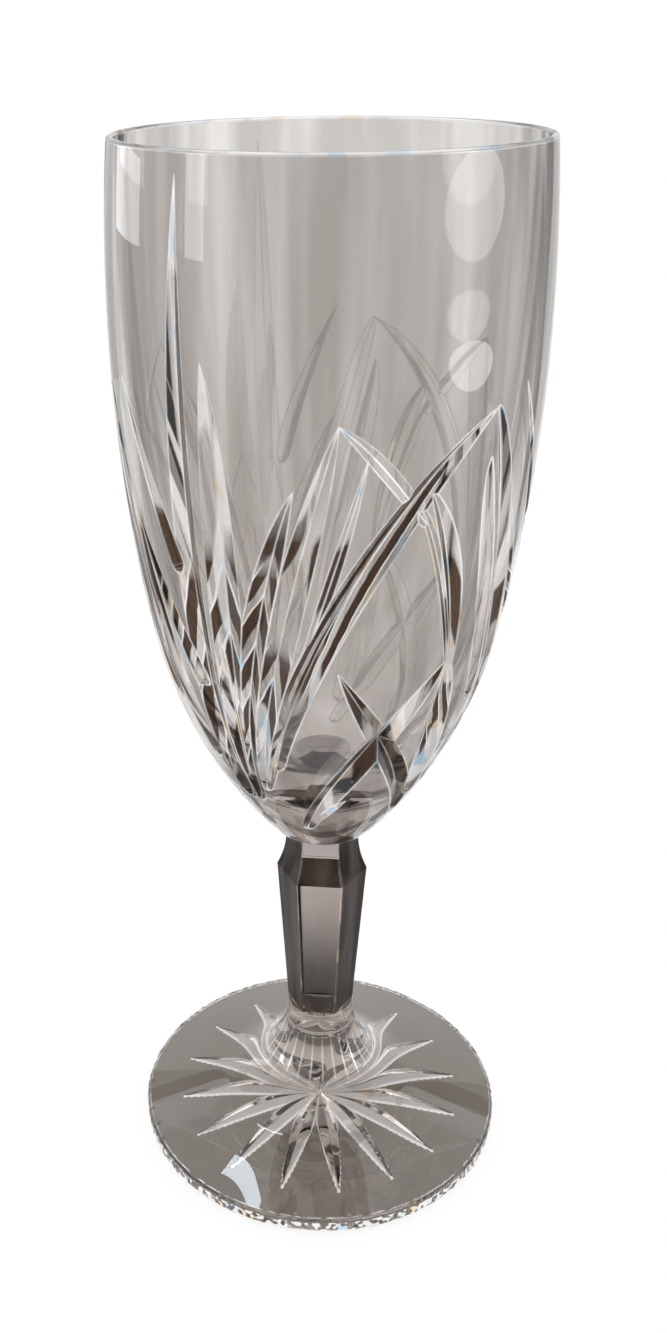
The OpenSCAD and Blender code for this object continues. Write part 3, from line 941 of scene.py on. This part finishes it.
def glass(name, look):
    """Lead glass: grey in thick places, streaked, with painted shade where seen edge on and in its cuts, and
    painted highlights on the edges round its cuts.
    """
    mat, tree = new_material(name)
    at = glass_places(tree, look)
    bands, chevron_highlights = chevrons_of(tree, at)
    fill = painted_shade_fill(tree, at, bands)
    waves = node(tree, "ShaderNodeBump", Strength=1, Distance=WAVE_D * MM,
                 Height=pattern(tree, at["place"], "waves", look["stretch"]))
    body = node(tree, "ShaderNodeBsdfPrincipled", Transmission_Weight=1, IOR=GLASS_IOR,
                Base_Color=mix_of(tree, fill, glass_tone(tree, look, at), look["fill"]),
                Roughness=product(tree, pattern(tree, at["place"], "smears"), look["smears"]),
                Specular_Tint=mix_of(tree, fill, look["shine"], SHADE_FILL_SHINE), Normal=waves.outputs["Normal"])
    # Painted highlights: a white metal shine, or a pale matt tone on the stem, part of it tinted like rainbow
    # glints
    rainbow = mix_of(tree, pattern(tree, at["place"], "rainbow"), *RAINBOW)
    sparks = mix_of(tree, pattern(tree, at["place"], "glints"), look["spark"], rainbow)
    spark = node(tree, "ShaderNodeBsdfPrincipled", Base_Color=sparks, Metallic=look["spark_metal"],
                 Roughness=SPARK_ROUGH)
    painted_highlight = painted_highlight_share(tree, look, at, chevron_highlights)
    surface = blend(tree, painted_highlight, body.outputs["BSDF"], spark.outputs["BSDF"])
    # Painted shade in matt dark tones, and painted light in a pale tone on the neck's flats seen face on
    pale = product(tree, at["pale"], rest_of(tree, at["edge_on"]))
    shades = mix_of(tree, pale, mix_of(tree, pattern(tree, at["place"], "shade"), *SHADE_TONES), NECK_LIGHT_TONE)
    shade = node(tree, "ShaderNodeBsdfPrincipled", Base_Color=shades, Roughness=SHADE_ROUGH,
                 Specular_IOR_Level=SHADE_SHINE)
    surface = blend(tree, shade_share(tree, look, at, pale, painted_highlight), surface, shade.outputs["BSDF"])
    faint = node(tree, "ShaderNodeBsdfTransparent", Color=FAINT_TONE)
    soft = product(tree, at["inner"], at["facet"], look["soft_back"])
    surface = blend(tree, soft, surface, faint.outputs["BSDF"])
    through = node(tree, "ShaderNodeBsdfTransparent")
    surface = blend(tree, at["joint"], surface, through.outputs["BSDF"])
    depth = node(tree, "ShaderNodeVolumeAbsorption", Color=GLASS_GREY, Density=look["density"])
    node(tree, "ShaderNodeOutputMaterial", Surface=surface, Volume=depth.outputs["Volume"])
    return mat


def dress(obj, look, replaced):
    """Marks the faces, gives the piece its glass and puts it in the place of its CAD node."""
    mesh = obj.data
    kinds = kinds_of(mesh)
    # The marks carry painted light and shade: the lip gets a painted highlight, the ground edge painted
    # glints, the neck painted light, and the faces below the foot and in the bowl's bottom painted shade
    mark(mesh, "FACE", joint=kinds == JOINT, facet=kinds >= CUT_KIND, under=kinds == BELOW,
         lip=LIP_HIGHLIGHT * (kinds == LIP), chipped=kinds == EDGE, pale=kinds == NECK)
    mesh.attributes.remove(mesh.attributes["kind"])
    mesh.materials.clear()
    mesh.materials.append(glass(replaced + "_glass", look))
    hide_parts(replaced)
    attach(obj, "root")


# Camera

def make_camera():
    """Camera fitted to the outlines of the goblet in the photograph."""
    pitch, yaw, roll = (math.radians(x) for x in CAMERA_TURNS)
    ahead = Vector((math.sin(yaw) * math.cos(pitch), math.cos(yaw) * math.cos(pitch), -math.sin(pitch)))
    level_right = Vector((math.cos(yaw), -math.sin(yaw), 0))
    level_up = level_right.cross(ahead)
    right = level_right * math.cos(roll) + level_up * math.sin(roll)
    up = level_up * math.cos(roll) - level_right * math.sin(roll)
    data = bpy.data.cameras.new("camera")
    cam = bpy.data.objects.new("camera", data)
    bpy.context.scene.collection.objects.link(cam)
    turn = Matrix((right, up, -ahead)).transposed()
    cam.matrix_world = Matrix.Translation(Vector(CAMERA_AT) * MM) @ turn.to_4x4()
    data.sensor_width = SENSOR_MM
    data.lens = FOCAL_PX / PHOTO_H * SENSOR_MM
    data.shift_x = (PHOTO_W / 2 - AXIS_PX[0]) / PHOTO_H
    data.shift_y = (AXIS_PX[1] - PHOTO_H / 2) / PHOTO_H
    data.clip_start, data.clip_end = NEAR_M, FAR_M
    bpy.context.scene.camera = cam


# Floor and light

def paper(name):
    """Matt paper that shows mostly white to the camera, also in and through the glass, and takes shadows."""
    mat, tree = new_material(name)
    body = node(tree, "ShaderNodeBsdfPrincipled", Base_Color=FLOOR_TONE, Roughness=FLOOR_ROUGH)
    white = node(tree, "ShaderNodeEmission", Strength=1)
    path = node(tree, "ShaderNodeLightPath").outputs
    seen = largest(tree, path["Is Camera Ray"], path["Is Glossy Ray"], path["Is Transmission Ray"])
    surface = blend(tree, product(tree, seen, FLOOR_WHITE), body.outputs["BSDF"], white.outputs["Emission"])
    node(tree, "ShaderNodeOutputMaterial", Surface=surface)
    return mat


def make_floor():
    """Round pale floor whose rim turns up into a wall, so that every view has the same background."""
    flat = FLOOR_ROWS[-1]
    rows = [(r, 0) for r in FLOOR_ROWS]
    rows += [(flat + FLOOR_BEND * math.sin(b), FLOOR_BEND - FLOOR_BEND * math.cos(b))
             for b in np.radians(np.arange(FLOOR_ROW_DEG, 91, FLOOR_ROW_DEG))]
    rows += [(flat + FLOOR_BEND, FLOOR_WALL)]
    a = angles(FLOOR_COLUMNS)
    verts = np.concatenate([ring(a, r, z) for r, z in rows]) / MM
    faces, _ = lathe_faces(len(rows), FLOOR_COLUMNS, [0] * (len(rows) - 1))
    floor = mesh_object("floor", verts, faces)
    floor.location.z = -FLOOR_DROP
    floor.data.shade_smooth()
    floor.data.materials.append(paper("floor_paper"))


def make_world():
    """Even light from all sides."""
    world = bpy.data.worlds.new("studio")
    bpy.context.scene.world = world
    world.use_nodes = True
    back = world.node_tree.nodes["Background"]
    back.inputs["Color"].default_value = (*WORLD_TONE, 1)
    back.inputs["Strength"].default_value = WORLD_STRENGTH


def softbox(name, at, to, width, height, power, shape, colour):
    """Area lamp that only the camera doesn't see."""
    data = bpy.data.lights.new(name, "AREA")
    data.shape = shape
    data.size, data.size_y = width, height
    data.energy = power
    data.color = colour
    lamp = bpy.data.objects.new(name, data)
    lamp.location = at
    lamp.rotation_euler = (Vector(to) - Vector(at)).to_track_quat("-Z", "Y").to_euler()
    lamp.visible_camera = False
    bpy.context.scene.collection.objects.link(lamp)


bpy.context.scene.view_settings.view_transform = "Standard"
make_camera()
make_floor()
make_world()
for lamp in LAMPS:
    softbox(*lamp)

bowl = bowl_mesh()
cut_out(bowl)
smooth_bowl(bowl.data)
stem = stem_mesh()
smooth_by_angle(stem, STEM_CREASE)
foot = foot_mesh()
mark_foot(foot.data)
smooth_by_angle(foot, FOOT_CREASE)
mark_chevrons(bowl.data)
dress(bowl, BOWL_GLASS, "bowl")
dress(stem, STEM_GLASS, "stem")
dress(foot, FOOT_GLASS, "foot")
